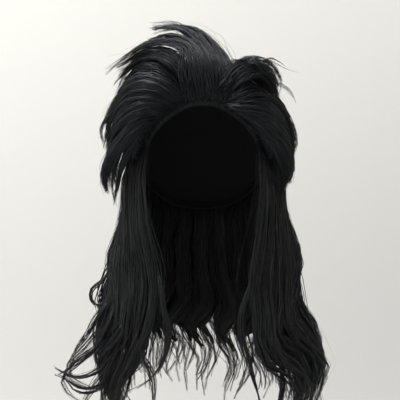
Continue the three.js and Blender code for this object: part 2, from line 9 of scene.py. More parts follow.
import bmesh
import bpy
import numpy as np
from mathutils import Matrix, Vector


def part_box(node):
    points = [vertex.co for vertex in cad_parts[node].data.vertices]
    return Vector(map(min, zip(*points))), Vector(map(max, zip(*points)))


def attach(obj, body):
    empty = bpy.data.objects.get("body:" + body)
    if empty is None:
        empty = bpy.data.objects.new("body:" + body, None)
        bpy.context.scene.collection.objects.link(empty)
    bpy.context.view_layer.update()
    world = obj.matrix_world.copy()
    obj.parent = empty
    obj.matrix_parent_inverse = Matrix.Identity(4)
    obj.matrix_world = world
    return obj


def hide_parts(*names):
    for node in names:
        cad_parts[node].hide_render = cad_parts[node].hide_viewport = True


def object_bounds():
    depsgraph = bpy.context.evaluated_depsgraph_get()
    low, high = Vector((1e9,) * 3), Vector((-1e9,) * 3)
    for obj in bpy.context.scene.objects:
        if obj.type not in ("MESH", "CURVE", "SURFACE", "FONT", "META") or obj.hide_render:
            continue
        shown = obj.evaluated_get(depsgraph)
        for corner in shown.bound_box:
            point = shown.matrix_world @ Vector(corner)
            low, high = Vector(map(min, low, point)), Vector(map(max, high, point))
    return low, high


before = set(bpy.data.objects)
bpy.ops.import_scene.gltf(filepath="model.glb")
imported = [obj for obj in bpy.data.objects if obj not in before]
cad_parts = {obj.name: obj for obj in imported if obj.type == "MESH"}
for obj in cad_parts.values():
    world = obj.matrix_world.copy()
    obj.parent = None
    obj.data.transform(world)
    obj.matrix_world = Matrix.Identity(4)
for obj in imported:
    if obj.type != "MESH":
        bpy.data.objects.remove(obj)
cad_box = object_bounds()

# The cap and the ellipsoid inside it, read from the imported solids
CAP_WALL = 0.0016
RIM_STEP = 15  # degrees of azimuth between two rows of RIM_DROPS
RIM_DROPS = np.array([0.36, 0.38, 0.47, 0.62, 0.93, 1.08, 0.96, 1.0, 1.14, 1.28, 1.38, 1.42, 1.43])
NAPE_DROP = RIM_DROPS[-1]
CAP_COLUMN = np.radians(12)  # the solid cap's facets, whose corners miss the widest azimuth by half
cap_low, cap_high = (np.array(corner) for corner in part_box("cap"))
HALF_BREADTH = cap_high[0] / np.cos(CAP_COLUMN / 2) - CAP_WALL
HALF_LENGTH = cap_high[1] - CAP_WALL
HEAD_DROP = (-cap_low[2] - (NAPE_DROP - 1) * CAP_WALL) / NAPE_DROP
FALL_LENGTH = -cad_box[0][2]
FALL_HEIGHT = FALL_LENGTH - HEAD_DROP
HEAD_CENTRE = np.array([0, 0, -HEAD_DROP])

# The hair, as in the solids
PIECE_GAP = 0.0003
BACKING_WALL = 0.003
BACKING_INNER = CAP_WALL + PIECE_GAP
ROOT_DEPTH = BACKING_INNER + BACKING_WALL / 2
TUFT_RISE = 0.062
TUFT_LOCK = (0.025, 0.011)  # width and depth
LAYER_LOCK = (0.031, 0.009)
LAYER_LIFT = 0.017
FALL_LOCK = (0.025, 0.010)
BACK_LOCK = (0.034, 0.010)
STRAY_LOCK = (0.006, 0.004)
WAVE_DEPTH = 0.007
WAVE_LENGTH = 0.105
HAIRLINE_END = 62  # azimuth where the front hairline stops

GUIDE_STATIONS = 56  # points along a guide lock
LOCK_STATIONS = 26  # along a filled lock
STRAND_SIDES = 3
GRAIN_ACROSS = 0.0010  # width of one streak of the hair's grain
GRAIN_ALONG = 0.035  # its length

# The thinnest and the thickest strand of each kind
COMBED = (0.00026, 0.00046)
SHORT_COMBED = (0.00026, 0.00042)
HAIRLINE = (0.00026, 0.00045)
WISPY = (0.00018, 0.00034)
PARTED = (0.00024, 0.00042)
COVERING = (0.0003, 0.0005)
STRAYING = (0.00022, 0.0004)
LOOPED = (0.0002, 0.0004)
BEHIND_EARS = (0.0004, 0.0007)
NAPE = (0.0005, 0.0009)
SINGLE = (0.00012, 0.00019)
STRAND_CLEARANCE = 0.0008  # over the inner side of the hair's backing
SWAY_CYCLES = (0.8, 1.9, 3.7)  # along one strand

rng = np.random.default_rng(11)


def smoothstep(x, low, high):
    """0 below low, 1 above high, and 3s^2 - 2s^3 between them."""
    s = np.clip((x - low) / (high - low), 0, 1)
    return s * s * (3 - 2 * s)


def unit(v):
    """Vectors brought to length 1."""
    return v / np.maximum(np.linalg.norm(v, axis=-1, keepdims=True), 1e-12)


def spread(*parts):
    """The parts spread over one grid and set side by side on a new last axis."""
    return np.stack(np.broadcast_arrays(*parts), axis=-1)


def steps_round(count, whole=2 * np.pi):
    """Even steps round a whole turn, in radians or in the units of `whole`."""
    return np.arange(count) / count * whole


def rim_polar(azimuth):
    """The angle from the crown down to the rim at an azimuth in degrees: arccos(1 - drop), the drop
    on a smooth curve through RIM_DROPS, mirrored past both ends."""
    last = len(RIM_DROPS) - 1
    position = np.abs((np.asarray(azimuth, float) + 180) % 360 - 180) / RIM_STEP
    low = np.minimum(position.astype(int), last - 1)
    t = position - low
    rows = np.concatenate([RIM_DROPS[1:2], RIM_DROPS, RIM_DROPS[-2:-1]])
    a, b, c, d = (rows[low + k] for k in range(4))
    drop = b + 0.5 * t * (c - a + t * (2 * a - 5 * b + 4 * c - d + t * (3 * (b - c) + d - a)))
    return np.arccos(1 - drop)


def head_point(azimuth, polar, out):
    """A point on the ellipsoid inside the cap with `out` added to its half axes:
    ((b + out) sin p sin a, -(l + out) sin p cos a, (d + out) cos p - d)."""
    turn = np.radians(azimuth)
    return spread((HALF_BREADTH + out) * np.sin(polar) * np.sin(turn),
                  -(HALF_LENGTH + out) * np.sin(polar) * np.cos(turn),
                  (HEAD_DROP + out) * np.cos(polar) - HEAD_DROP)


def root_at(azimuth, share):
    """Where hair is rooted, at a share of the way from the crown to the rim."""
    return head_point(azimuth, share * rim_polar(azimuth), ROOT_DEPTH)


def percent_point(percents):
    """A point from percents: x of the half breadth, y of the half length, z of the tuft's rise above
    the crown or of the cap's drop below it."""
    x, y, z = np.array(percents) / 100
    return [x * HALF_BREADTH, y * HALF_LENGTH, z * (TUFT_RISE if z > 0 else HEAD_DROP)]


def lift_off(points, clearance):
    """Points above the level of the nape, moved out from the middle of the cap's ellipsoid until
    they stand `clearance` off it."""
    away = points - HEAD_CENTRE
    axes = spread(HALF_BREADTH + clearance, HALF_LENGTH + clearance, HEAD_DROP + clearance)
    share = np.linalg.norm(away / axes, axis=-1, keepdims=True)
    lifted = HEAD_CENTRE + away * np.maximum(1, 1 / np.maximum(share, 1e-9))
    above_nape = points[..., 2:] >= -HEAD_DROP * NAPE_DROP
    return np.where(above_nape, lifted, points)


def curve_through(points, count=GUIDE_STATIONS):
    """A centripetal Catmull-Rom curve through the points, cut into even steps of its length."""
    p = np.asarray(points, float)
    p = np.vstack([2 * p[0] - p[1], p, 2 * p[-1] - p[-2]])
    gap = np.maximum(np.linalg.norm(np.diff(p, axis=0), axis=1) ** 0.5, 1e-6)[:, None]
    before, here, after = gap[:-2], gap[1:-1], gap[2:]
    start, end = p[1:-2], p[2:-1]
    slope_start = ((start - p[:-3]) / before - (end - p[:-3]) / (before + here) + (end - start) / here) * here
    slope_end = ((end - start) / here - (p[3:] - start) / (here + after) + (p[3:] - end) / after) * here
    u = np.linspace(0, 1, 24, endpoint=False)[:, None, None]
    dense = (
        (2 * u**3 - 3 * u**2 + 1) * start + (u**3 - 2 * u**2 + u) * slope_start
        + (3 * u**2 - 2 * u**3) * end + (u**3 - u**2) * slope_end
    )
    dense = np.vstack([dense.transpose(1, 0, 2).reshape(-1, 3), p[-2]])
    length = np.concatenate([[0], np.cumsum(np.linalg.norm(np.diff(dense, axis=0), axis=1))])
    even = np.linspace(0, length[-1], count)
    return np.stack([np.interp(even, length, dense[:, k]) for k in range(3)], axis=-1)


def frames_along(paths):
    """Tangent, across and thick directions at each station of each path (guides x stations x 3).
    The thick one is carried along without twist and faces away from the cap at 0.6 of the way."""
    along = unit(np.gradient(paths, axis=1))
    stations = paths.shape[1]
    set_at = round(0.6 * (stations - 1))
    outward = paths[:, set_at] * [1, 1, 0]
    outward[:, 2] = np.maximum(0, paths[:, set_at, 2] + HEAD_DROP)
    thick = np.empty_like(paths)
    thick[:, set_at] = outward
    for step, order in ((1, range(set_at, stations)), (-1, range(set_at, -1, -1))):
        carried = outward
        for k in order:
            carried = unit(carried - along[:, k] * np.sum(carried * along[:, k], axis=-1, keepdims=True))
            thick[:, k] = carried
    return along, np.cross(thick, along), thick


def swell(t, tip, full_until=0.4):
    """A lock's width along its length, as a share of its greatest: it grows from 0.55 to 1 by 0.4
    of the way and draws in to `tip` after `full_until`."""
    grown = 0.55 + 0.45 * smoothstep(t, 0, 0.4)
    return grown * (1 - (1 - tip) * smoothstep(t, full_until, 1))


# Mesh making

def new_object(name, data):
    """An object in the scene that holds the data."""
    made = bpy.data.objects.new(name, data)
    bpy.context.scene.collection.objects.link(made)
    return made


def new_mesh(name, points, faces, material, grain=None):
    """One mesh object from an array of points and a list of face arrays (quads or triangles)."""
    mesh = bpy.data.meshes.new(name)
    mesh.vertices.add(len(points))
    mesh.vertices.foreach_set("co", np.ascontiguousarray(points, np.float32).ravel())
    corners = np.concatenate([f.ravel() for f in faces])
    sizes = np.concatenate([np.full(len(f), f.shape[1]) for f in faces])
    mesh.loops.add(len(corners))
    mesh.loops.foreach_set("vertex_index", corners.astype(np.int32))
    mesh.polygons.add(len(sizes))
    starts = np.concatenate([[0], np.cumsum(sizes)[:-1]])
    mesh.polygons.foreach_set("loop_start", starts.astype(np.int32))
    mesh.polygons.foreach_set("use_smooth", np.full(len(sizes), True))
    mesh.update(calc_edges=True)
    if grain is not None:
        layer = mesh.attributes.new("grain", "FLOAT_VECTOR", "POINT")
        layer.data.foreach_set("vector", np.ascontiguousarray(grain, np.float32).ravel())
    mesh.materials.append(material)
    return new_object(name, mesh)


def tube_rings(centres, across, thick, half_width, half_depth, sides):
    """Rings round each path: centre + across cos(a) half width + thick sin(a) half depth."""
    turn = steps_round(sides)
    return (
        centres[:, :, None]
        + across[:, :, None] * (np.cos(turn) * half_width[..., None])[..., None]
        + thick[:, :, None] * (np.sin(turn) * half_depth[..., None])[..., None]
    )


def ring_faces(count, rings, sides):
    """Faces of `count` closed tubes of `rings` rings each: quads between rings and an end face at
    both ends."""
    base = (np.arange(count) * rings * sides)[:, None, None]
    k = (np.arange(rings - 1) * sides)[None, :, None]
    side = np.arange(sides)[None, None, :]
    beside = (side + 1) % sides
    quads = spread(base + k + side, base + k + beside, base + k + sides + beside,
                   base + k + sides + side).reshape(-1, 4)
    first = base[:, 0] + np.arange(sides)[::-1]
    last = base[:, 0] + (rings - 1) * sides + np.arange(sides)
    return [quads, first, last]


def way_along(paths):
    """The length run at each station of each path."""
    return np.cumsum(np.linalg.norm(np.diff(paths, axis=1, prepend=paths[:, :1]), axis=-1), axis=1)


def strand_mesh(name, centres, radius, material):
    """Thin closed three-sided tubes along strand centre lines (strands x stations x 3)."""
    count, stations, _ = centres.shape
    along = unit(np.gradient(centres, axis=1))
    aside = unit(np.cross(unit(centres[:, -1] - centres[:, 0]), rng.normal(size=(count, 3))))[:, None]
    thick = unit(np.cross(along, aside))
    across = np.cross(thick, along)
    rings = tube_rings(centres, across, thick, radius, radius, STRAND_SIDES)
    run = way_along(centres)
    shade = rng.uniform(0, 400, size=(count, 1, 2))
    grain = np.concatenate([np.repeat(shade, stations, axis=1), run[..., None] / GRAIN_ALONG], axis=-1)
    grain = np.repeat(grain[:, :, None], STRAND_SIDES, axis=2)
    return new_mesh(name, rings.reshape(-1, 3), ring_faces(count, stations, STRAND_SIDES), material,
                    grain.reshape(-1, 3))


def lock_mesh(name, guides, material, scale=(0.85, 0.5), reach=0.9, full_until=0.4, sides=6):
    """Smooth closed lens sections lofted along guide locks. `scale` slims their width and depth to
    leave room for the strands over them, and `reach` is how far along the guide they go."""
    at = np.linspace(0, reach, LOCK_STATIONS)
    paths = sample(guides["path"], np.broadcast_to(at, (len(guides["path"]), LOCK_STATIONS)))
    _, across, thick = frames_along(paths)
    profile = swell(at[None] / reach, guides["tip"][:, None], full_until)
    half_width = guides["width"][:, None] / 2 * profile * scale[0]
    half_depth = guides["depth"][:, None] / 2 * profile * scale[1] * np.minimum(1, 0.25 + at * 3)
    clearance = BACKING_INNER + half_depth
    clearance[:, 0] = ROOT_DEPTH
    paths = lift_off(paths, clearance)
    rings = tube_rings(paths, across, thick, half_width, half_depth, sides)
    turn = steps_round(sides)
    run = way_along(paths)
    shade = rng.uniform(0, 400, size=(len(paths), 1, 1))
    grain = spread(shade + np.cos(turn) * half_width[..., None] / GRAIN_ACROSS,
                   np.sin(turn) * half_width[..., None] / GRAIN_ACROSS, run[..., None] / GRAIN_ALONG)
    return new_mesh(name, rings.reshape(-1, 3), ring_faces(len(paths), LOCK_STATIONS, sides), material,
                    grain.reshape(-1, 3))


def sample(tables, at):
    """Rows of guide tables (guides x stations x 3) read at shares `at` of the way (guides x k)."""
    last = tables.shape[1] - 1
    position = np.clip(at, 0, 1) * last
    low = np.minimum(position.astype(int), last - 1)
    part = (position - low)[..., None]
    row = np.arange(len(tables))[:, None]
    return tables[row, low] * (1 - part) + tables[row, low + 1] * part


# Guide locks

def guides_of(paths, size, tip=0.12, slim=1):
    """A fan of neighbouring guide locks: their paths, widths, depths and blunt tips."""
    count = len(paths)
    return {
        "path": np.array([curve_through(p) for p in paths]),
        "width": np.full(count, size[0]) * slim,
        "depth": np.full(count, size[1]) * slim,
        "tip": np.full(count, tip, float),
    }


def joined(fans):
    """One table of guides from several fans."""
    return {key: np.concatenate([fan[key] for fan in fans]) for key in ("path", "width", "depth", "tip")}


def denser(fan, slim=0.7, stray=0.004, curl=0.0, turns=3.6):
    """The fan with one more guide half way between each two. All are slimmed. Each guide strays by
    `stray` times the square of the way along, less up or down, and winds round its line in `turns`
    turns whose radius grows to `curl`."""
    def between(table):
        full = np.empty((2 * len(table) - 1, *table.shape[1:]))
        full[::2] = table
        full[1::2] = (table[:-1] + table[1:]) / 2
        return full

    path = between(fan["path"])
    t = np.linspace(0, 1, path.shape[1])[None, :, None]
    path = path + rng.normal(0, stray, (len(path), 1, 3)) * [1, 1, 0.4] * t**2
    _, across, thick = frames_along(path)
    phase = np.arange(len(path))[:, None, None] * 0.8 + rng.normal(0, 0.5, (len(path), 1, 1))
    angle = 2 * np.pi * turns * t + phase
    wound = across * np.cos(angle) + thick * np.sin(angle) * 0.6
    path = path + wound * curl * smoothstep(t, 0.25, 0.85)
    return {"path": path, "width": between(fan["width"]) * slim, "depth": between(fan["depth"]),
            "tip": between(fan["tip"])}


# A lock of a tuft: its root, as the azimuth and the percent of the way to the rim, then four points
# on its way, as percents for percent_point, how blunt its tip is and how slim the lock
Lock = namedtuple("Lock", "root rise bend fall tip blunt slim", defaults=(0.12, 1))
CREST_LOCKS = [
    Lock((-8, 90), (-10, -88, -6), (-20, -76, 36), (-50, -68, 52), (-92, -62, 36)),
    Lock((9, 90), (12, -84, -2), (-6, -68, 46), (-37, -58, 80), (-72, -52, 76)),
    Lock((16, 85), (28, -76, -6), (14, -60, 40), (-12, -46, 80), (-52, -42, 90)),
    Lock((17, 60), (36, -60, -2), (32, -50, 22), (18, -40, 50), (-10, -30, 76)),
    Lock((4, 50), (10, -46, 18), (6, -38, 46), (-14, -30, 62), (-40, -24, 60)),
]
LEFT_TUFT_LOCKS = [
    Lock((-28, 38), (-24, -56, 6), (-50, -62, 32), (-82, -60, 36), (-122, -52, 12)),
    Lock((-42, 38), (-40, -50, 2), (-72, -50, 16), (-100, -46, 2), (-120, -42, -26)),
    Lock((-62, 38), (-46, -28, 0), (-78, -24, -7), (-102, -20, -28), (-118, -16, -50)),
    Lock((-80, 35), (-42, -6, 6), (-76, 2, -4), (-102, 8, -26), (-118, 10, -56)),
]
RIGHT_TUFT_LOCKS = [
    Lock((34, 38), (44, -56, 0), (70, -58, 14), (96, -50, -2), (102, -44, -20)),
    Lock((48, 38), (52, -42, 0), (76, -36, 15), (100, -28, -2), (110, -24, -28)),
    Lock((64, 36), (50, -22, 8), (76, -14, 13), (100, -8, -4), (114, -6, -40)),
    Lock((80, 34), (42, -2, 16), (76, 6, 16), (104, 12, -10), (120, 14, -46)),
]
LEFT_SWEEP_LOCKS = [
    Lock((-25, 90), (-56, -92, -20), (-92, -82, -16), (-126, -60, -40), (-140, -44, -74)),
    Lock((-33, 92), (-72, -88, -34), (-104, -74, -40), (-126, -56, -62), (-136, -44, -90)),
    Lock((-41, 90), (-84, -80, -48), (-110, -68, -68), (-133, -56, -94), (-144, -50, -124), blunt=0.4),
    Lock((-45, 80), (-92, -70, -62), (-106, -62, -84), (-118, -54, -106), (-126, -48, -136), slim=0.5),
    Lock((-56, 55), (-90, -52, -34), (-116, -42, -50), (-130, -34, -76), (-134, -30, -108)),
    Lock((-76, 55), (-92, -20, -36), (-116, -12, -56), (-128, -6, -84), (-130, -4, -116)),
]
RIGHT_SWEEP_LOCKS = [
    Lock((25, 90), (46, -94, -34), (80, -82, -36), (110, -60, -50), (128, -42, -80)),
    Lock((32, 92), (62, -88, -42), (94, -74, -52), (120, -52, -74), (126, -42, -104)),
    Lock((40, 90), (76, -80, -52), (102, -66, -68), (120, -52, -90), (120, -46, -122)),
    Lock((45, 80), (88, -70, -62), (104, -60, -82), (114, -50, -104), (112, -46, -134), slim=0.5),
    Lock((56, 55), (88, -52, -24), (112, -42, -40), (124, -34, -64), (128, -30, -98)),
    Lock((76, 55), (92, -20, -24), (116, -12, -46), (126, -6, -78), (128, -4, -112)),
]


def tuft_guides(rows):
    """Guides through the root and the four points of each row."""
    paths = []
    for row in rows:
        azimuth, percent = row.root
        base = root_at(azimuth, percent / 100)
        paths.append([base] + [percent_point(point) for point in (row.rise, row.bend, row.fall, row.tip)])
    return guides_of(paths, TUFT_LOCK, [row.blunt for row in rows], [row.slim for row in rows])


LAYER_RINGS = [
    dict(share=0.08, locks=4, first=98, last=262, reach=52, lift=1.1, flick=0.7),
    dict(share=0.32, locks=5, first=100, last=260, reach=46, lift=1.0, flick=0.8),
    dict(share=0.55, locks=4, first=100, last=260, reach=42, lift=0.8, flick=1.0),
]


def layer_guides(share, locks, first, last, reach, lift, flick):
    """A ring of guides that leave the cap at `share` of the way to the rim, stand off it by
    lift sin(pi t) + flick t^2 layer lifts and cover `reach` degrees on the way down."""
    paths = []
    for i, azimuth in enumerate(np.linspace(first, last, locks)):
        lean = 1 if i % 2 else -1
        longer = 1.12 if i % 2 else 0.94
        t = np.linspace(0, 1, 5)
        polar = share * rim_polar(azimuth) + np.radians(reach * longer) * t
        stand = LAYER_LIFT * (lift * np.sin(np.pi * np.minimum(t, 0.85)) + flick * t * t)
        paths.append(head_point(azimuth + lean * 5 * t, polar, ROOT_DEPTH + stand))
    return guides_of(paths, LAYER_LOCK)


# Rows down the side lengths, in percent: how far down, then the plan position of the inner and outer
# edges, of the half breadth and half length, and how far the plan bows out between them
LEFT_FALL_LEVELS = np.array([
    (0, 84, -66, 106, 26, 14), (12, 82, -68, 108, 20, 12),
    (25, 77, -68, 117, 11, 12), (38, 60, -68, 133, 6, 14),
    (52, 62, -70, 141, 3, 16), (65, 74, -72, 147, 0, 17),
    (78, 90, -74, 148, -2, 17), (92, 98, -74, 142, -3, 16),
    (100, 98, -73, 136, -4, 16),
]) / 100
RIGHT_FALL_LEVELS = np.array([
    (0, 81, -68, 106, 26, 14), (12, 79, -69, 112, 18, 11),
    (25, 76, -68, 126, 10, 11), (38, 65, -68, 138, 5, 13),
    (52, 62, -68, 141, 2, 16), (65, 80, -69, 158, -1, 17),
    (78, 108, -70, 166, -2, 17), (92, 120, -68, 148, -3, 16),
    (100, 118, -66, 132, -4, 16),
]) / 100
# Rows down the back lengths, in percent: how far down, and the half axes of the curtain's plan
BACK_FALL_LEVELS = np.array([
    (0, 113, 112), (12, 112, 110), (25, 118, 104), (38, 132, 104),
    (52, 142, 106), (65, 146, 108), (78, 144, 110), (100, 136, 108),
]) / 100
HANG_STATIONS = np.array([0, 0.1, 0.22, 0.35, 0.48, 0.62, 0.76, 0.9, 1])


def level_at(levels, down):
    """The columns of a level table after its first, blended at each `down`."""
    return [np.interp(down, levels[:, 0], levels[:, k]) for k in range(1, levels.shape[1])]


def wave_at(down, phase):
    """The wave that builds up on the way down: depth sin(2 pi (length / wave length + phase))."""
    return WAVE_DEPTH * smoothstep(down, 0.1, 0.55) * np.sin(
        2 * np.pi * (down * FALL_HEIGHT / WAVE_LENGTH + phase))


def side_fall_guides(levels, side, locks, first, last, root_share, start, off, shorter):
    """Guides down one layer of a side length. side is 1 towards +X."""
    paths = []
    for i, s in enumerate(np.linspace(first, last, locks)):
        azimuth = side * (54 + 54 * s)
        root = root_at(azimuth, root_share)
        length = 1 - shorter - 0.1 * ((i * 0.62 + shorter * 3) % 1)
        down = start + (length - start) * HANG_STATIONS
        inner_x, inner_y, outer_x, outer_y, bow = level_at(levels, down)
        chord = np.stack([(outer_x - inner_x) * HALF_BREADTH, (outer_y - inner_y) * HALF_LENGTH], axis=-1)
        chord_way = unit(chord)
        normal = np.stack([chord_way[:, 1], -chord_way[:, 0]], axis=-1)
        bulge = bow * HALF_BREADTH * np.sin(np.pi * s) + off * FALL_LOCK[1]
        wave = wave_at(down, i * 0.13)
        plan = np.stack([inner_x * HALF_BREADTH, inner_y * HALF_LENGTH], axis=-1) + chord * s
        plan = plan + normal * (bulge + wave * 0.4)[:, None] + chord_way * wave[:, None]
        hanging = np.column_stack([side * plan[:, 0], plan[:, 1], -HEAD_DROP - down * FALL_HEIGHT])
        paths.append(np.vstack([root, hanging]))
    return guides_of(paths, FALL_LOCK, 0.15)


SIDE_LAYERS = [
    dict(locks=4, first=0.03, last=0.97, root_share=0.84, start=0.04, off=0.35, shorter=0),
    dict(locks=3, first=0.19, last=0.81, root_share=0.94, start=0.08, off=-0.4, shorter=0.08),
]
BACK_SPREAD = 0.09  # how much wider an angle the back lengths cover low down
BACK_LAYERS = [
    dict(locks=6, first=112, last=248, root_share=0.74, start=0.05, off=0.5, shorter=0),
    dict(locks=5, first=125.6, last=234.4, root_share=0.9, start=0.14, off=-0.4, shorter=0.06),
]


def back_fall_guides(locks, first, last, root_share, start, off, shorter):
    """Guides down one layer of the back lengths."""
    paths = []
    for i, azimuth in enumerate(np.linspace(first, last, locks)):
        root = root_at(azimuth, root_share)
        length = 1 - shorter - 0.08 * ((i * 0.62) % 1)
        down = start + (length - start) * HANG_STATIONS
        turn = np.radians(180 + (azimuth - 180) * (1 + BACK_SPREAD * smoothstep(down, 0.1, 0.6)))
        breadth, reach = level_at(BACK_FALL_LEVELS, down)
        wave = wave_at(down, i * 0.17)
        out = off * FALL_LOCK[1] + wave * 0.5
        hanging = np.column_stack([
            (breadth * HALF_BREADTH + out) * np.sin(turn) + wave * np.cos(turn),
            -(reach * HALF_LENGTH + out) * np.cos(turn) + wave * np.sin(turn),
            -HEAD_DROP - down * FALL_HEIGHT,
        ])
        paths.append(np.vstack([root, hanging]))
    return guides_of(paths, BACK_LOCK, 0.15)


# Points of the thin locks, in percent of the half breadth and half length and of the way down
LEFT_STRAY_LOCKS = [
    [(-126, -30, 50), (-146, -42, 64), (-174, -46, 72), (-200, -47, 76.5)],
    [(-120, -34, 62), (-142, -46, 73), (-174, -50, 76.5), (-216, -46, 73)],
    [(-114, -40, 68), (-140, -50, 79), (-172, -48, 81), (-204, -44, 77)],
    [(-68, -58, 34), (-58, -72, 44), (-53, -76, 52), (-47, -77, 59),
     (-50.5, -78, 66), (-62, -78, 72), (-80, -78, 77), (-102, -76, 80)],
]
RIGHT_STRAY_LOCKS = [
    [(74, -58, 38), (55, -74, 50), (52, -78, 57), (57, -79, 64),
     (68, -79, 73), (81, -78, 84), (90, -77, 94)],
    [(110, -62, 70), (108, -76, 82), (98, -78, 88), (86, -76, 93)],
]


def stray_guides(rows):
    """Guides of the thin locks that leave the side lengths."""
    scale = np.array([HALF_BREADTH, HALF_LENGTH, -FALL_HEIGHT])
    paths = [np.array(row) / 100 * scale - [0, 0, HEAD_DROP] for row in rows]
    return guides_of(paths, STRAY_LOCK)


# Wisps that stray from the locks: how many strands, and points as percents for percent_point
CREST_WISPS = [
    (50, [(-8, -70, 10), (-21, -62, 30), (-46, -62, 55), (-77, -62, 51), (-105, -60, 31), (-131, -56, 5)]),
    (40, [(-10, -66, 0), (-24, -60, 15), (-49, -58, 40), (-74, -58, 40), (-94, -56, 28), (-116, -52, 10)]),
    (50, [(-32, -60, -2), (-60, -58, 22), (-89, -56, 19), (-109, -54, 2), (-120, -50, -17)]),
    (40, [(-37, -70, -15), (-63, -66, 3), (-88, -60, 4), (-106, -56, -7), (-119, -50, -25)]),
    (16, [(20, -60, 10), (3, -50, 55), (-18, -50, 78), (-44, -50, 92), (-61, -50, 90)]),
    (14, [(5, -66, 10), (-4, -56, 37), (-24, -54, 62), (-44, -52, 72), (-61, -50, 67)]),
]
LEFT_WISPS = [
    (60, [(-52, -84, -23), (-80, -78, -15), (-107, -68, -24), (-128, -58, -35), (-142, -50, -56)]),
    (40, [(-73, -84, -29), (-110, -70, -30), (-133, -58, -45), (-144, -50, -60), (-139, -46, -76)]),
    (24, [(-87, -80, -49), (-110, -68, -71), (-125, -60, -96), (-128, -54, -122), (-120, -50, -141)]),
]
RIGHT_WISPS = [
    (40, [(41, -50, 0), (53, -46, 22), (76, -40, 28), (99, -34, 19), (112, -30, -4), (110, -30, -19)]),
    (50, [(46, -56, -10), (61, -52, 10), (82, -46, 16), (101, -40, 1), (106, -36, -14), (96, -36, -23)]),
    (90, [(52, -64, -21), (66, -60, -6), (86, -54, 0), (99, -48, -9), (98, -44, -21)]),
    (100, [(50, -50, -20), (68, -44, -12), (88, -36, -12), (102, -30, -24), (108, -26, -40)]),
    (7, [(74, -40, 19), (93, -36, 28), (111, -34, 21), (125, -32, 5)]),
    (7, [(93, -40, -10), (110, -36, -9), (128, -34, -20), (138, -32, -32)]),
    (50, [(82, -66, -25), (106, -50, -32), (124, -42, -52), (131, -40, -73), (124, -40, -88),
          (126, -40, -105), (114, -44, -120)]),
]
FLICK_WISPS = [
    (22, [(-130, -40, -260), (-146, -45, -270), (-168, -45, -291), (-186, -45, -304), (-192, -45, -317),
          (-175, -45, -327), (-146, -45, -333), (-130, -40, -336)]),
    (20, [(-125, -40, -275), (-150, -45, -288), (-172, -45, -300), (-193, -45, -314), (-198, -45, -328),
          (-180, -45, -342), (-160, -45, -350)]),
    (34, [(-136, -42, -240), (-150, -44, -256), (-163, -45, -275), (-180, -45, -291), (-190, -45, -306)]),
    (26, [(-95, -66, -270), (-86, -72, -293), (-72, -74, -312), (-68, -74, -338), (-72, -74, -362)]),
    (22, [(-120, -50, -290), (-136, -52, -310), (-156, -50, -330), (-170, -48, -350), (-166, -46, -368)]),
]
LOOP_WISP = (26, [(-134, -30, -206), (-143, -36, -218), (-159, -40, -229), (-158, -42, -240),
                  (-147, -40, -245), (-139, -36, -239)])


# Fans of strands that cover the partings between the groups, in the same form
PARTING_FANS = [
    (130, [(-16, -93, -22), (-30, -86, 4), (-50, -76, 25), (-78, -66, 27), (-110, -58, 8)]),
    (120, [(-30, -92, -22), (-46, -85, -4), (-68, -76, 10), (-92, -66, 5), (-115, -56, -16)]),
    (110, [(26, -82, -20), (36, -78, -2), (52, -70, 10), (74, -62, 12), (94, -54, -2)]),
    (100, [(14, -93, -24), (30, -84, -10), (42, -76, 0), (60, -70, 0), (82, -62, -12)]),
    (160, [(30, -93, -26), (44, -88, -10), (60, -80, -2), (80, -68, -4), (98, -56, -20)]),
    (160, [(33, -97, -33), (47, -96, -29), (66, -87, -23), (88, -73, -26), (106, -58, -42)]),
]


def wisp_guide(points, size):
    """One guide through points given as percents."""
    return guides_of([[percent_point(point) for point in points]], size)


# Strands

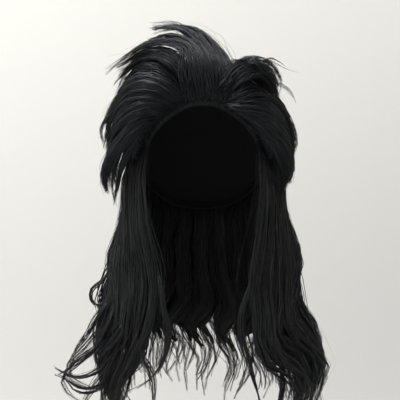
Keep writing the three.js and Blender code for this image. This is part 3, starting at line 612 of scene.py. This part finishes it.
def strands_of(fan, count, stations, clump=(0.3, 0.9, 0.9), margin=0.3, shell=(0.75, 1.15),
               wander=0.0012, lengths=(0.8, 1.04), flare=0.0, full_until=0.4, bundle=1, tie=0.75,
               ragged=0.1, rim=None):
    """Strand centre lines round a fan of guides. A strand starts between two guides and gathers to
    the nearer one: centre = guide a (1 - w) + guide b w, with w drawn to 0 or 1 by clump[2] between
    shares clump[0] and clump[1] of the way. It keeps a place on the lock's lens section, r (cos, sin)
    of its half width and half depth, and wanders off it by slow sines that grow with the square of t.
    It begins anywhere in the first `ragged` of the way, so that the roots form no edge. Neighbours
    are tied in bundles of `bundle`: each draws `tie` of the way to the middle one near the tip. With
    `rim`, the azimuths of the guides, strands are rooted along the cap's rim and join the fan by 0.4
    of the way."""
    path = fan["path"]
    last = len(path) - 1
    if rim is None:
        place = rng.uniform(-margin, last + margin, count) if last else np.zeros(count)
    else:
        root_azimuth = rng.uniform(rim[0], rim[-1], count)
        place = np.interp(root_azimuth, rim, np.arange(len(rim)))
    a = np.clip(np.floor(place), 0, max(last - 1, 0)).astype(int)
    b = np.minimum(a + 1, last)
    w = (place - a)[:, None]
    nearer = np.clip(np.round(w), 0, 1)
    own = np.where(nearer[:, 0] > 0, b, a)
    turn = rng.uniform(0, 2 * np.pi, (count, 1))
    beside = np.lexsort((turn[:, 0], own))
    middle = np.minimum(np.arange(count) // bundle * bundle + bundle // 2, count - 1)
    leader = np.empty(count, int)
    leader[beside] = beside[middle]
    length = rng.uniform(*lengths, (count, 1))
    length = length[leader] + (length - length[leader]) * 0.35
    begin = rng.uniform(0, ragged, (count, 1))
    t = np.linspace(0, 1, stations)[None]
    at = begin + t * (length - begin)
    gather = smoothstep(at, clump[0], clump[1]) * clump[2]
    w = w + (nearer - w) * gather
    along, across, thick = frames_along(path)

    def blend(tables):
        return sample(tables[a], at) * (1 - w[..., None]) + sample(tables[b], at) * w[..., None]

    past_end = np.maximum(at - 1, 0)[..., None]
    centre = blend(path) + unit(blend(along)) * past_end * 0.12
    side, out = unit(blend(across)), unit(blend(thick))
    profile = swell(at, fan["tip"][own][:, None], full_until)
    width = fan["width"][own][:, None] / 2 * profile
    depth = fan["depth"][own][:, None] / 2 * profile * np.minimum(1, 0.3 + at * 3)
    r = rng.uniform(*shell, (count, 1))
    offset = side * (r * np.cos(turn) * width)[..., None] + out * (r * np.sin(turn) * depth)[..., None]
    sway = np.zeros_like(centre)
    for cycles in SWAY_CYCLES:
        phase = rng.uniform(0, 2 * np.pi, (count, 1, 3))
        amount = rng.normal(0, wander / cycles, (count, 1, 3))
        sway += amount * np.sin(2 * np.pi * cycles * at[..., None] + phase)
    sway *= (0.25 + 1.6 * at**2)[..., None]
    lines = centre + offset + sway + rng.normal(0, 1, (count, 1, 3)) * flare * (at**2)[..., None]
    if bundle > 1:
        lines += (lines[leader] - lines) * tie * smoothstep(at, 0.15, 0.95)[..., None]
    if rim is not None:
        root = root_at(root_azimuth, rng.uniform(0.965, 0.998, count))
        lines += (root - lines[:, 0])[:, None] * (1 - smoothstep(at, 0, 0.4))[..., None]
    return lift_off(lines, BACKING_INNER + STRAND_CLEARANCE)


def tapered(count, stations, low, high, tip=0.25):
    """Strand radii: a random one each, thin at the root and drawn in to the tip from 0.55 of the
    way."""
    t = np.linspace(0, 1, stations)[None]
    thin_root = 0.3 + 0.7 * smoothstep(t, 0, 0.12)
    return rng.uniform(low, high, (count, 1)) * thin_root * (1 - (1 - tip) * smoothstep(t, 0.55, 1.0))


# Materials

def put(node, settings):
    """Sets a node's inputs by name."""
    for name, value in settings.items():
        node.inputs[name].default_value = value


def add_node(tree, kind, settings, **sources):
    """A new node with some inputs set and some fed from the sockets of other nodes."""
    made = tree.nodes.new("ShaderNode" + kind)
    put(made, settings)
    for name, source in sources.items():
        tree.links.new(source, made.inputs[name])
    return made


def node_material(name, roughness=0.5, specular=0.5):
    """A Principled material, its node tree and its shader."""
    material = bpy.data.materials.new(name)
    material.use_nodes = True
    shader = material.node_tree.nodes["Principled BSDF"]
    put(shader, {"Roughness": roughness, "Specular IOR Level": specular})
    return material, material.node_tree, shader


def ramp(tree, source, stops):
    """A colour ramp fed by a value; stops are (position, colour)."""
    made = add_node(tree, "ValToRGB", {}, Fac=source)
    elements = made.color_ramp.elements
    while len(elements) < len(stops):
        elements.new(0.5)
    for element, (position, colour) in zip(elements, stops):
        element.position = position
        element.color = (*colour, 1)
    return made.outputs["Color"]


def bump(tree, shader, height, strength, distance):
    """Raises the shader's surface by a height value."""
    made = add_node(tree, "Bump", {"Strength": strength, "Distance": distance}, Height=height)
    tree.links.new(made.outputs["Normal"], shader.inputs["Normal"])


def grain_of(tree):
    """The place in the hair's or the band's own grain, stored at each point."""
    made = add_node(tree, "Attribute", {})
    made.attribute_name = "grain"
    return made.outputs["Vector"]


def hair_material(name, shine, blacks):
    """Jet black fibre: streaks of slightly different blacks along the hair's own grain, the lightest of them
    bluish and partly a painted sheen, and a soft sheen that varies with them."""
    material, tree, shader = node_material(name, specular=shine)
    streaks = add_node(tree, "TexNoise", {"Scale": 1, "Detail": 3}, Vector=grain_of(tree))
    black = ramp(tree, streaks.outputs["Fac"], list(zip((0.3, 0.55, 0.75), blacks)))
    tree.links.new(black, shader.inputs["Base Color"])
    rough = add_node(tree, "MapRange", {"From Min": 0.3, "From Max": 0.7, "To Min": 0.62, "To Max": 0.42},
                     Value=streaks.outputs["Fac"])
    tree.links.new(rough.outputs["Result"], shader.inputs["Roughness"])
    bump(tree, shader, streaks.outputs["Fac"], 0.3, 0.0006)
    return material


THREADS = 320  # scale of the net's wave texture


def net_material():
    """Matt black stretch net: a fine diamond mesh of raised threads."""
    material, tree, shader = node_material("stretch_net", roughness=0.9, specular=0.12)
    place = add_node(tree, "TexCoord", {})
    heights = []
    for turn in (45, -45):
        lay = add_node(tree, "Mapping", {"Rotation": (np.radians(turn), np.radians(turn), 0)},
                       Vector=place.outputs["Object"])
        thread = add_node(tree, "TexWave", {"Scale": THREADS}, Vector=lay.outputs["Vector"])
        heights.append(thread.outputs["Fac"])
    mesh = add_node(tree, "Math", {})
    mesh.operation = "MAXIMUM"
    tree.links.new(heights[0], mesh.inputs[0])
    tree.links.new(heights[1], mesh.inputs[1])
    black = ramp(tree, mesh.outputs["Value"], [
        (0.35, (0.008, 0.008, 0.009)), (0.85, (0.017, 0.017, 0.019))])
    tree.links.new(black, shader.inputs["Base Color"])
    bump(tree, shader, mesh.outputs["Value"], 0.4, 0.0006)
    return material


def binding_material():
    """Matt black elastic: ribs along the band's length with a slight fuzz."""
    material, tree, shader = node_material("elastic_binding", roughness=0.85, specular=0.15)
    ribs = add_node(tree, "TexWave", {"Scale": 1, "Distortion": 0.4}, Vector=grain_of(tree))
    ribs.bands_direction = "Z"
    black = ramp(tree, ribs.outputs["Fac"], [(0.3, (0.004, 0.004, 0.0045)), (0.8, (0.009, 0.009, 0.010))])
    tree.links.new(black, shader.inputs["Base Color"])
    bump(tree, shader, ribs.outputs["Fac"], 0.5, 0.0004)
    return material


# The lightest, bluish blacks of each fibre below are partly a painted sheen; the rest of the streaks are tone
# that differs at random
HAIR = hair_material("black_fibre", 0.4, [
    (0.0050, 0.0059, 0.0075), (0.0088, 0.0105, 0.0136), (0.0150, 0.0178, 0.0232)])
# Darker blacks than black_fibre: painted shade, for the hair under other hair, the root bed and the parting
# fans
SHADED_HAIR = hair_material("shaded_fibre", 0.2, [
    (0.0026, 0.0028, 0.0034), (0.0046, 0.0050, 0.0061), (0.0095, 0.0105, 0.0130)])
# Darker blacks than black_fibre: painted shade on the lengths, their strays and the short hair at the cap's
# front edge; its wider range of streaks is partly a painted sheen
SHADE_AND_SHEEN_FIBRE = hair_material("fibre_painted_shade_and_sheen", 0.48, [
    (0.0024, 0.0026, 0.0030), (0.0058, 0.0063, 0.0072), (0.0170, 0.0182, 0.0210)])
NET = net_material()
BINDING = binding_material()


def shell_mesh(name, outer, inner, material, grain=None):
    """A closed curved slab between two grids of points (rows x columns x 3) that wrap round. The
    first row of each is one point, its pole."""
    rows, columns, _ = outer.shape
    points = np.concatenate([outer.reshape(-1, 3), inner.reshape(-1, 3)])
    i = np.arange(columns)[None]
    beside = (i + 1) % columns
    j = np.arange(rows - 1)[:, None] * columns

    def between(first, turned):
        quads = spread(first + j + i, first + j + columns + i, first + j + columns + beside,
                       first + j + beside).reshape(-1, 4)
        return quads[:, ::-1] if turned else quads

    inner_first = rows * columns
    foot = (rows - 1) * columns
    rim = spread(foot + i, inner_first + foot + i, inner_first + foot + beside, foot + beside)
    faces = [between(0, False), between(inner_first, True), rim.reshape(-1, 4)]
    made = new_mesh(name, points, faces, material, grain)
    merge_close(made)
    return made


def merge_close(made):
    """Merges the points of a pole into one."""
    shape = bmesh.new()
    shape.from_mesh(made.data)
    bmesh.ops.remove_doubles(shape, verts=shape.verts, dist=1e-6)
    bmesh.ops.dissolve_degenerate(shape, edges=shape.edges, dist=1e-7)
    shape.to_mesh(made.data)
    shape.free()


def show(made, slot, *nodes):
    """Puts a finished piece on the wig, in place of the named solids."""
    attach(made, "root")
    if nodes:
        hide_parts(*nodes)


BAND_WIDTH = 0.009
BAND_WALL = 0.0012
WEFT_SPACING = 0.013
WEFT_HEIGHT = 0.0007


def cap_piece():
    """The net cap: two skins on the ellipsoid, the inner one raised in rows where hair is sewn."""
    columns, rows = 60, 64
    azimuth = steps_round(columns, 360)
    v = np.linspace(0, 1, rows)[:, None]
    polar = v * rim_polar(azimuth)[None]
    row_at = (polar * HEAD_DROP / WEFT_SPACING) % 1
    raised = WEFT_HEIGHT * np.exp(-((row_at - 0.5) / 0.09) ** 2) * smoothstep(v, 0.12, 0.2)
    raised = raised * (1 - smoothstep(v, 0.90, 0.93))
    outer = head_point(azimuth[None], polar, CAP_WALL)
    inner = head_point(azimuth[None], polar, -raised)
    made = shell_mesh("cap_net", outer, inner, NET)
    show(made, "cap_net", "cap")


def band_piece():
    """The binding inside the rim: a soft rounded band, closed all round."""
    columns, sides = 180, 16
    azimuth = steps_round(columns, 360)
    turn = steps_round(sides)
    width = np.sign(np.cos(turn)) * np.abs(np.cos(turn)) ** 0.35
    wall = np.sign(np.sin(turn)) * np.abs(np.sin(turn)) ** 0.6
    polar = rim_polar(azimuth)[:, None] - BAND_WIDTH / HEAD_DROP / 2 * (1 - width[None])
    out = -PIECE_GAP - BAND_WALL / 2 * (1 - wall[None])
    points = head_point(azimuth[:, None], polar, out)
    i = (np.arange(columns) * sides)[:, None]
    beside = (i + sides) % (columns * sides)
    k = np.arange(sides)[None]
    above = (k + 1) % sides
    faces = spread(i + k, beside + k, beside + above, i + above)
    grain = spread(0 * polar, wall[None] * 0.5, width[None] * 3)
    made = new_mesh("rim_binding", points.reshape(-1, 3), [faces.reshape(-1, 4)], BINDING,
                    grain.reshape(-1, 3))
    show(made, "edge_binding", "edge_band")


def root_bed_piece():
    """The bed of sewn hair roots over the cap, combed down from the crown, thin at the rim."""
    columns, rows = 72, 24
    azimuth = steps_round(columns, 360)
    v = np.linspace(0, 1, rows)[:, None]
    polar = v * (rim_polar(azimuth)[None] - 0.01)
    thick = BACKING_WALL * (1 - 0.75 * smoothstep(v, 0.85, 1.0))
    outer = head_point(azimuth[None], polar, BACKING_INNER + thick)
    inner = head_point(azimuth[None], polar, BACKING_INNER + 0 * polar)
    turn = np.radians(azimuth)[None]
    round_head = HALF_BREADTH * np.sin(polar) / GRAIN_ACROSS
    grain = np.stack([np.sin(turn) * round_head, np.cos(turn) * round_head,
                      polar * HEAD_DROP / GRAIN_ALONG], axis=-1).reshape(-1, 3)
    made = shell_mesh("root_bed", outer, inner, SHADED_HAIR, np.concatenate([grain, grain]))
    show(made, "hair")


def crown_strands(count, stations, first, last):
    """Short combed hair over the cap from the crown to the tufts' roots: along the meridians from
    polar share u0 to u0 + run, turning by `swirl` degrees, and standing off as the sine of the way."""
    azimuth = rng.uniform(first, last, (count, 1))
    start = 0.55 * np.sqrt(rng.uniform(0.002, 1, (count, 1)))
    run = rng.uniform(0.3, 0.5, (count, 1))
    t = np.linspace(0, 1, stations)[None]
    swirl = azimuth + 38 * t * (1 - start) + rng.normal(0, 6, (count, 1)) * t
    stand = BACKING_WALL + rng.uniform(0.001, 0.011, (count, 1)) * np.sin(np.pi * t * 0.8)
    return head_point(swirl, (start + run * t) * rim_polar(swirl), BACKING_INNER + stand)


def edge_strands(count, stations):
    """Short hair over the cap's front edge: from under the rim, over its edge and back along the
    meridian to between 0.72 and 0.9 of the way, lifting off by the square root of the way."""
    azimuth = rng.uniform(-84, 84, (count, 1))
    t = np.linspace(0, 1, stations)[None] ** 1.5
    reach = rng.uniform(0.1, 0.28, (count, 1)) * smoothstep(100 - np.abs(azimuth), 0, 50)
    polar = (1.006 - reach * t) * rim_polar(azimuth)
    turned = azimuth + (azimuth * 0.12 + rng.normal(0, 3, (count, 1))) * t
    return head_point(turned, polar, 0.0004 + rng.uniform(0.006, 0.011, (count, 1)) * np.sqrt(t))


def nape_strands(count, stations):
    """Short hair that hangs from the nape: from just above the rim, straight down by 40 to 90 mm
    and out by the sine of the way."""
    azimuth = rng.uniform(112, 248, (count, 1))
    t = np.linspace(0, 1, stations)[None]
    root = root_at(azimuth, rng.uniform(0.93, 0.985, (count, 1)))
    out = root * [1, 1, 0] * (0.11 + rng.uniform(-0.03, 0.03, (count, 1, 1)))
    hang = rng.uniform(0.04, 0.09, (count, 1, 1)) * np.array([0, 0, -1])
    return root + out * np.sin(np.pi / 2 * t)[..., None] + hang * t[..., None]


def flyaways(fans, count, stations, wander):
    """Single fibres that leave the hair: strands of the same guides that stray much further."""
    each = count // len(fans)
    return [strands_of(fan, each, stations, clump=(0.5, 1, 0), shell=(0.8, 1.6), wander=wander,
                       lengths=(0.5, 0.96), flare=0.004) for fan in fans]


def strand_piece(name, lines, radius, material=None):
    """A piece of hair from sets of strand centre lines that all have as many stations."""
    lines = np.concatenate(lines)
    made = strand_mesh(name, lines, tapered(len(lines), lines.shape[1], *radius), material or HAIR)
    show(made, "hair")


def hair_group(node, fans, count, stations, body=(0.85, 0.5), body_reach=0.8, dense=True, slim=0.7,
               stray=0.004, curl=0.0, material=None, **manner):
    """One group: filled locks that replace the solid, and strands shared among its fans by the
    width of the locks in each."""
    if dense:
        fans = [denser(fan, slim, stray, curl) for fan in fans]
    full_until = manner.get("full_until", 0.4)
    filled = lock_mesh(node + "_locks", joined(fans), SHADED_HAIR, body, body_reach, full_until)
    show(filled, "hair", node)
    widths = [np.sum(fan["width"]) for fan in fans]
    strand_piece(node + "_strands", [
        strands_of(fan, round(count * width / sum(widths)), stations, **manner)
        for fan, width in zip(fans, widths)], COMBED, material)


def part_of(fan, first, last, slim=1):
    """The guides first to last - 1 of a fan, slimmed."""
    part = {key: table[first:last] for key, table in fan.items()}
    return {**part, "width": part["width"] * slim}


def neat_lock(name, guide, count):
    """A smooth lock that hangs by itself; its rounded end curls inwards."""
    end = smoothstep(np.linspace(0, 1, GUIDE_STATIONS), 0.86, 1.1)[None, :, None]
    inward = -np.sign(guide["path"][:, -1:, :1]) * np.array([0.011, 0, 0])
    guide = {**guide, "path": guide["path"] + inward * end, "tip": np.full(1, 0.25)}
    show(lock_mesh(name + "_core", guide, SHADED_HAIR, (0.85, 0.8), 0.99, 0.78), "hair")
    strand_piece(name, [strands_of(guide, count, 13, shell=(0.75, 1.1), wander=0.0008,
                                   lengths=(0.93, 1.02), full_until=0.78)], COMBED)


def make_hair():
    """Every piece of hair, from the tufts at the front to the lengths and the flyaways."""
    crest = tuft_guides(CREST_LOCKS)
    left_tuft, right_tuft = tuft_guides(LEFT_TUFT_LOCKS), tuft_guides(RIGHT_TUFT_LOCKS)
    left_sweep, left_side = tuft_guides(LEFT_SWEEP_LOCKS[:4]), tuft_guides(LEFT_SWEEP_LOCKS[4:])
    right_sweep, right_side = tuft_guides(RIGHT_SWEEP_LOCKS[:4]), tuft_guides(RIGHT_SWEEP_LOCKS[4:])
    tuft = dict(body=(0.7, 0.5), body_reach=0.58, slim=0.6, stray=0.003, clump=(0.2, 0.75, 0.95),
                shell=(0.4, 1.15), lengths=(0.72, 1.04), bundle=8, tie=0.72)
    hair_group("crest_tuft", [crest], 1400, 10, **{**tuft, "slim": 0.44})
    hair_group("left_crown_tuft", [left_tuft], 800, 9, **tuft)
    hair_group("right_crown_tuft", [right_tuft], 750, 10, **{
        **tuft, "body_reach": 0.5, "lengths": (0.5, 0.98), "curl": 0.004})
    sweep = dict(dense=False, clump=(0.35, 0.9, 0.9), shell=(0.6, 1.1), bundle=9, tie=0.6)
    for node, front, side in (("left_sweep", left_sweep, left_side),
                              ("right_sweep", right_sweep, right_side)):
        hair_group(node, [part_of(front, 0, 2), part_of(front, 3, 4), side], 1150, 10, **sweep)
        neat_lock(node + "_lock", part_of(front, 2, 3, 0.6), 150)
    hair_group("crown_layer", [layer_guides(**ring) for ring in LAYER_RINGS], 1400, 9,
               body_reach=0.6, clump=(0.4, 1.0, 0.75), shell=(0.5, 1.15), lengths=(0.7, 1.08), bundle=8)

    wisp, fan = (0.011, 0.008), (0.022, 0.008)
    for name, rows, size in (("crest_wisps", CREST_WISPS, wisp), ("left_wisps", LEFT_WISPS, wisp),
                             ("right_wisps", RIGHT_WISPS, wisp), ("flick_wisps", FLICK_WISPS, wisp),
                             ("parting_fans", PARTING_FANS, fan)):
        strand_piece(name, [
            strands_of(wisp_guide(points, size), count, 10, shell=(0.0, 1.3), lengths=(0.75, 1.08),
                       bundle=5, tie=0.6, ragged=0.1 if size is wisp else 0.4)
            for count, points in rows],
            *((WISPY, HAIR) if size is wisp else (PARTED, SHADED_HAIR)))
    strand_piece("crown_cover", [crown_strands(780, 7, 40, 320)], COVERING)

    # The front hairline, from the left sweep over the crest to the right sweep
    ordered = {key: table[::-1] for key, table in left_sweep.items()}
    front = joined([ordered, part_of(crest, 0, 3), right_sweep])
    front_rows = LEFT_SWEEP_LOCKS[3::-1] + CREST_LOCKS[:3] + RIGHT_SWEEP_LOCKS[:4]
    rim = np.array([row.root[0] for row in front_rows])
    rim[[0, -1]] = [-HAIRLINE_END, HAIRLINE_END]
    strand_piece("hairline_strands", [
        strands_of(front, 600, 8, rim=rim, clump=(0.05, 0.55, 0.95), shell=(0.6, 1.1), lengths=(0.35, 0.95)),
        strands_of(front, 300, 8, rim=rim, clump=(0.4, 1, 0.3), shell=(0.7, 1.1), lengths=(0.22, 0.5)),
    ], HAIRLINE)
    strand_piece("edge_strands", [edge_strands(560, 6)], SHORT_COMBED, SHADE_AND_SHEEN_FIBRE)

    fall = dict(body=(0.75, 0.45), body_reach=0.84, slim=0.68, stray=0.006, curl=0.008,
                clump=(0.25, 0.75, 0.95), wander=0.002, full_until=0.75, lengths=(0.86, 1.01),
                bundle=12, tie=0.8, material=SHADE_AND_SHEEN_FIBRE)
    for node, levels, side in (("left_fall", LEFT_FALL_LEVELS, -1), ("right_fall", RIGHT_FALL_LEVELS, 1)):
        hair_group(node, [side_fall_guides(levels, side, **layer) for layer in SIDE_LAYERS], 1290, 13, **fall)
        strays = stray_guides(LEFT_STRAY_LOCKS if side < 0 else RIGHT_STRAY_LOCKS)
        strand_piece(node + "_strays", [
            strands_of(part_of(strays, i, i + 1), 40, 13, wander=0.0014, lengths=(0.8, 1.05),
                       bundle=14, tie=0.85)
            for i in range(len(strays["path"]))], STRAYING, SHADE_AND_SHEEN_FIBRE)
    count, points = LOOP_WISP
    loop = strands_of(wisp_guide(points, (0.004, 0.004)), count, 11, wander=0.0006, lengths=(0.9, 1.1))
    strand_piece("left_loop", [loop], LOOPED, SHADE_AND_SHEEN_FIBRE)
    hair_group("back_fall", [back_fall_guides(**layer) for layer in BACK_LAYERS], 1320, 13, **{
        **fall, "body": (0.98, 0.45), "slim": 0.82, "body_reach": 0.78})
    left_fall, right_fall = (side_fall_guides(levels, side, **SIDE_LAYERS[0])
                             for levels, side in ((LEFT_FALL_LEVELS, -1), (RIGHT_FALL_LEVELS, 1)))
    back = back_fall_guides(**BACK_LAYERS[0])
    strand_piece("behind_ears", [
        strands_of(joined([part_of(side, 3, 4), near]), 180, 13, clump=(0, 1, 0), shell=(0.3, 1.0),
                   wander=0.002, full_until=0.75, lengths=(0.7, 1.0), bundle=4, tie=0.4)
        for side, near in ((right_fall, part_of(back, 0, 1)), (left_fall, part_of(back, 5, 6)))],
        BEHIND_EARS, SHADE_AND_SHEEN_FIBRE)
    veil = strands_of(back, 190, 9, clump=(0, 1, 0), shell=(0.1, 0.7), wander=0.002, full_until=0.75,
                      lengths=(0.6, 0.85))
    strand_piece("nape_strands", [nape_strands(260, 9), veil], NAPE, SHADED_HAIR)
    strand_piece("flyaways", [
        *flyaways([crest, left_tuft, right_tuft, left_sweep, right_sweep], 230, 10, 0.005),
        *flyaways([left_fall, right_fall], 130, 10, 0.006)], SINGLE)


# Stage, lights and camera

PHOTO_SCALE = 0.00107  # metres a pixel at 1 m from the camera
PHOTO_SIZE = 400
CAMERA_PLACE = (-0.0032, -1.080, -0.1395)
SENSOR_WIDTH = 36
FLOOR_LEVEL = -0.56
COVE_RADIUS = 3.0
COVE_BEND = 2.2
COVE_HEIGHT = 2.6
COVE_EYE = 0.001  # radius of the pinhole that the floor's rings leave in the middle
COVE_SIDES = 96
PAPER_LEVEL = 0.56
# Painted shade on the paper: darker towards the viewer's right and the floor, for the light's falloff and a
# soft shadow on the wall
PAINTED_SHADE_SLOPE = (-0.05, 0, 0.26)
PAPER_TINT = (1, 0.975, 0.93)


def paper_material():
    """Pale paper with painted shade, a little darker towards the floor and the viewer's right, where the
    light falls off and a soft shadow lies:
    its lightness is PAPER_LEVEL plus the painted shade slope times the place, tinted by PAPER_TINT."""
    material, tree, shader = node_material("pale_paper", 0.9, 0.2)
    place = add_node(tree, "TexCoord", {})
    slope = add_node(tree, "VectorMath", {})
    slope.operation = "DOT_PRODUCT"
    slope.inputs[1].default_value = PAINTED_SHADE_SLOPE
    tree.links.new(place.outputs["Object"], slope.inputs[0])
    level = add_node(tree, "Math", {})
    level.operation = "ADD"
    level.inputs[1].default_value = PAPER_LEVEL
    tree.links.new(slope.outputs["Value"], level.inputs[0])
    paper = ramp(tree, level.outputs["Value"], [
        (share, tuple(share * tint for tint in PAPER_TINT)) for share in (0.3, 0.9)])
    tree.links.new(paper, shader.inputs["Base Color"])
    return material


def make_stage():
    """A round cove: a flat floor that bends up into a wall, turned about the vertical axis."""
    bend = np.linspace(0, np.pi / 2, 16)
    reach = np.concatenate([[COVE_EYE], COVE_RADIUS - COVE_BEND + COVE_BEND * np.sin(bend), [COVE_RADIUS]])
    level = np.concatenate([[0], COVE_BEND * (1 - np.cos(bend)), [COVE_HEIGHT]]) + FLOOR_LEVEL
    turn = steps_round(COVE_SIDES)
    points = spread(reach[:, None] * np.cos(turn), reach[:, None] * np.sin(turn), level[:, None])
    j = (np.arange(len(reach) - 1) * COVE_SIDES)[:, None]
    i = np.arange(COVE_SIDES)[None]
    beside = (i + 1) % COVE_SIDES
    faces = spread(j + COVE_SIDES + i, j + COVE_SIDES + beside, j + beside, j + i)
    cove = new_mesh("studio_cove", points.reshape(-1, 3), [faces.reshape(-1, 4)], paper_material())


def area_light(name, place, target, size, power, colour=(1, 1, 1)):
    """A square light at a place, turned towards a target."""
    data = bpy.data.lights.new(name, "AREA")
    data.size = size
    data.energy = power
    data.color = colour
    lamp = new_object(name, data)
    lamp.location = place
    aim = Vector(target) - Vector(place)
    lamp.rotation_mode = "QUATERNION"
    lamp.rotation_quaternion = aim.to_track_quat("-Z", "Y")


def make_lights():
    """A large window at the viewer's left, a softer light from above, and one on the wall."""
    middle = (0, 0, -0.12)
    area_light("window_light", (-0.65, -0.5, 2.1), middle, 1.1, 102, (0.93, 0.97, 1.0))
    area_light("top_light", (-0.2, 0.3, 1.9), middle, 1.2, 18)
    area_light("wall_light", (-1.1, 0.6, 2.0), (-0.9, 3, 0), 1.8, 24, (1.0, 0.99, 0.96))
    world = bpy.data.worlds.new("soft_room")
    world.use_nodes = True
    put(world.node_tree.nodes["Background"], {"Color": (1, 1, 1, 1), "Strength": 0.2})
    bpy.context.scene.world = world


def make_camera():
    """Square to the wig's front, at the distance that the photograph's scale gives."""
    data = bpy.data.cameras.new("camera")
    data.sensor_width = SENSOR_WIDTH
    data.lens = SENSOR_WIDTH / (PHOTO_SIZE * PHOTO_SCALE)
    camera = new_object("camera", data)
    camera.location = CAMERA_PLACE
    camera.rotation_euler = (np.pi / 2, 0, 0)
    bpy.context.scene.camera = camera


make_camera()
cap_piece()
band_piece()
root_bed_piece()
make_hair()
make_stage()
make_lights()
bpy.context.scene.view_settings.view_transform = "Standard"
